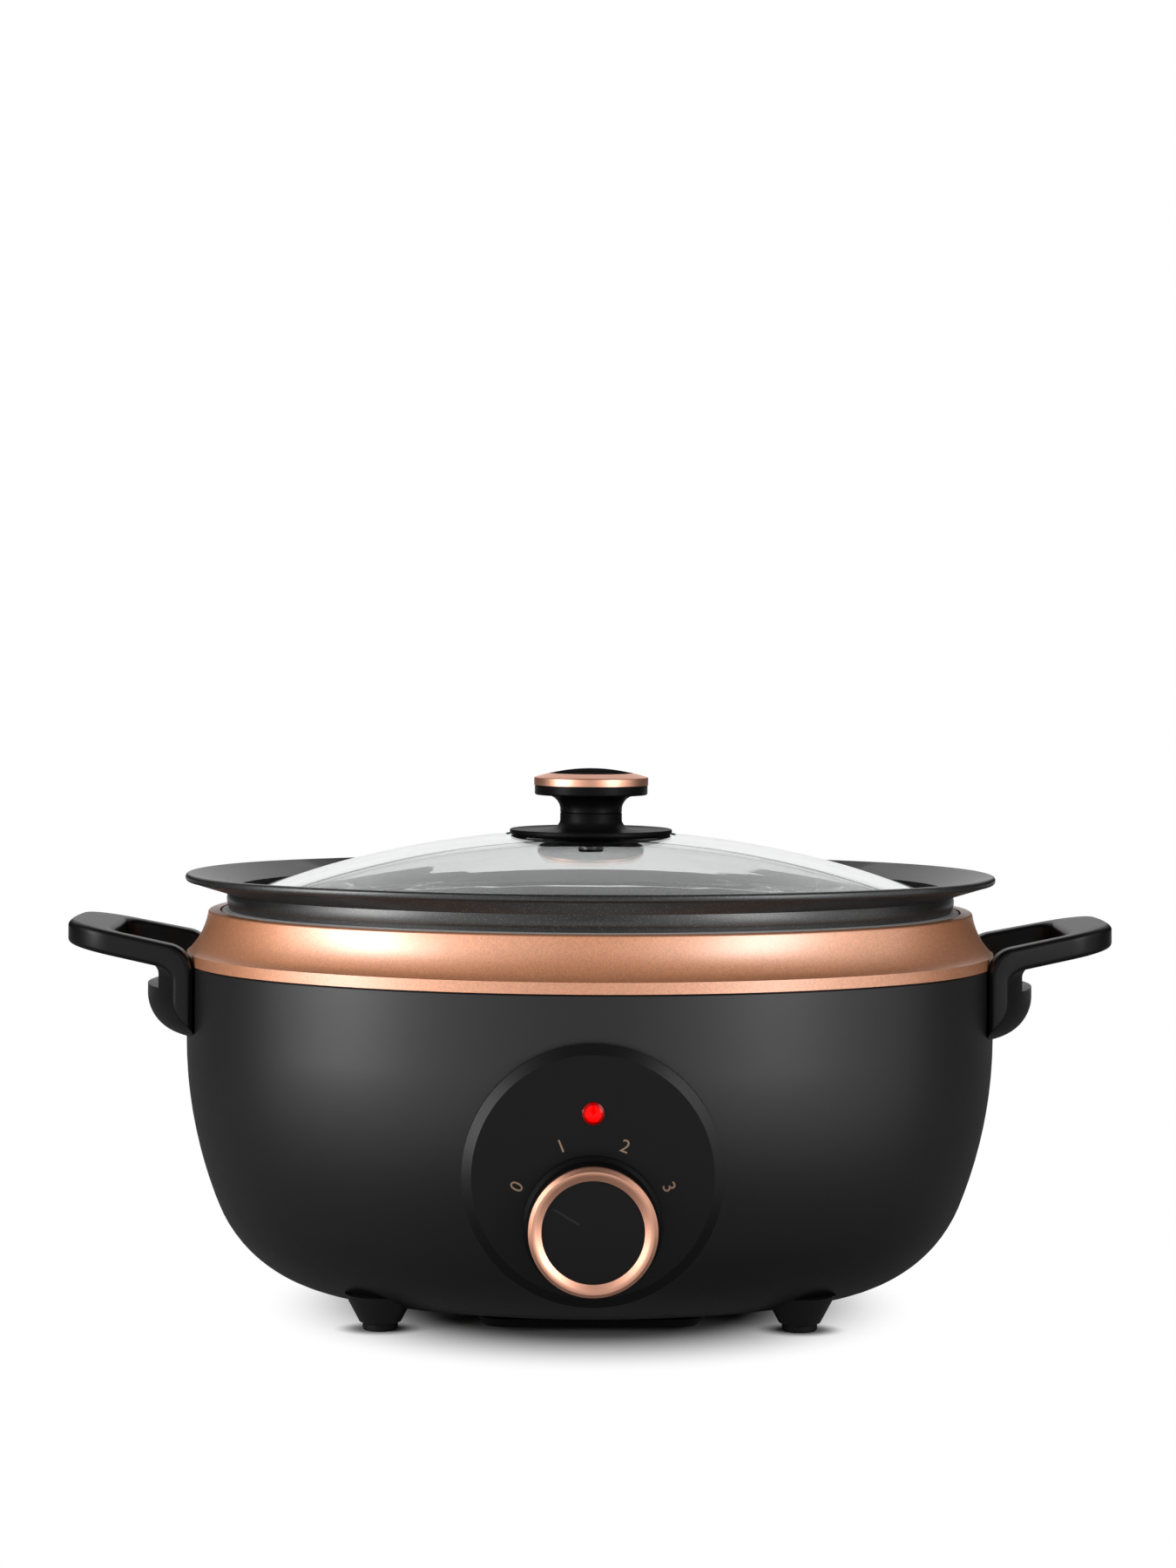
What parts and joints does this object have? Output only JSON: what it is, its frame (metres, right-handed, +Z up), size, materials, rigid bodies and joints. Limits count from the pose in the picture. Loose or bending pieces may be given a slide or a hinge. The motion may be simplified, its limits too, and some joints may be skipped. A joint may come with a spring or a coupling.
{
  "type": "slow cooker",
  "caption": "Oval electric slow cooker: rounded housing with metal collar, lift-out pot, domed glass lid with knob, turning dial and side handles.",
  "frame": {"origin": "on the worktop under the middle of the whole part, dial included", "axes": "+X to the right handle seen from the dial side, +Y to the rear, +Z up"},
  "size_m": [0.461, 0.3174, 0.2357],
  "materials": {
    "satin_black": "satin",
    "rose_gold": "satin anodised",
    "bare_aluminium": "drawn",
    "black_plastic": "satin",
    "red_lens": "clear red, lit",
    "lamp_glass": "clear",
    "switch_plastic": "matt",
    "brass_parts": "turned",
    "plated_steel": "zinc plated",
    "black_rubber": "matt",
    "fuse_ceramic": "matt",
    "copper_trim": "polished copper tone",
    "pot_coating": "cast, with a speckled non-stick coating",
    "lid_glass": "clear"
  },
  "bodies": {
    "base": {"outer_housing": "satin_black", "collar_ring": "rose_gold", "heating_well": "bare_aluminium", "control_panel": "black_plastic", "indicator_lens": "red_lens", "neon_lamp": "lamp_glass", "rotary_switch": "switch_plastic", "switch_terminals": "brass_parts", "switch_nut": "plated_steel", "handle_right": "black_plastic", "handle_left": "black_plastic", "foot_front_left": "black_rubber", "foot_rear_left": "black_rubber", "foot_front_right": "black_rubber", "foot_rear_right": "black_rubber", "base_cover": "black_plastic", "cover_screws": "plated_steel", "handle_screws_right": "plated_steel", "handle_screws_left": "plated_steel", "panel_screws": "plated_steel", "well_stud": "plated_steel", "stud_washer": "plated_steel", "stud_nut": "plated_steel", "heater_band": "plated_steel", "band_bolt": "plated_steel", "band_nut": "plated_steel", "thermal_fuse": "fuse_ceramic", "fuse_clip": "plated_steel", "cord_gland": "black_rubber", "terminal_block": "switch_plastic"},
    "dial": {"dial_body": "black_plastic", "dial_ring": "copper_trim", "dial_face": "black_plastic", "switch_shaft": "plated_steel"},
    "pot": {"cooking_pot": "pot_coating"},
    "lid": {"lid_glass": "lid_glass", "lid_knob_base": "black_plastic", "lid_knob_grip": "black_plastic", "lid_knob_ring": "copper_trim", "lid_knob_cap": "black_plastic", "lid_knob_insert": "brass_parts", "lid_gasket": "black_rubber", "lid_bolt": "plated_steel"}
  },
  "joints": [
    {"name": "dial_turn", "type": "hinge", "parent": "base", "child": "dial", "pos_m": [0, -0.14075, 0.0583], "axis": [0, 1, 0], "range_deg": [0, 120]},
    {"name": "pot_lift", "type": "slide", "parent": "base", "child": "pot", "axis": [0, 0, 1], "range_m": [0, 0.2]},
    {"name": "lid_lift", "type": "slide", "parent": "pot", "child": "lid", "axis": [0, 0, 1], "range_m": [0, 0.13]}
  ]
}
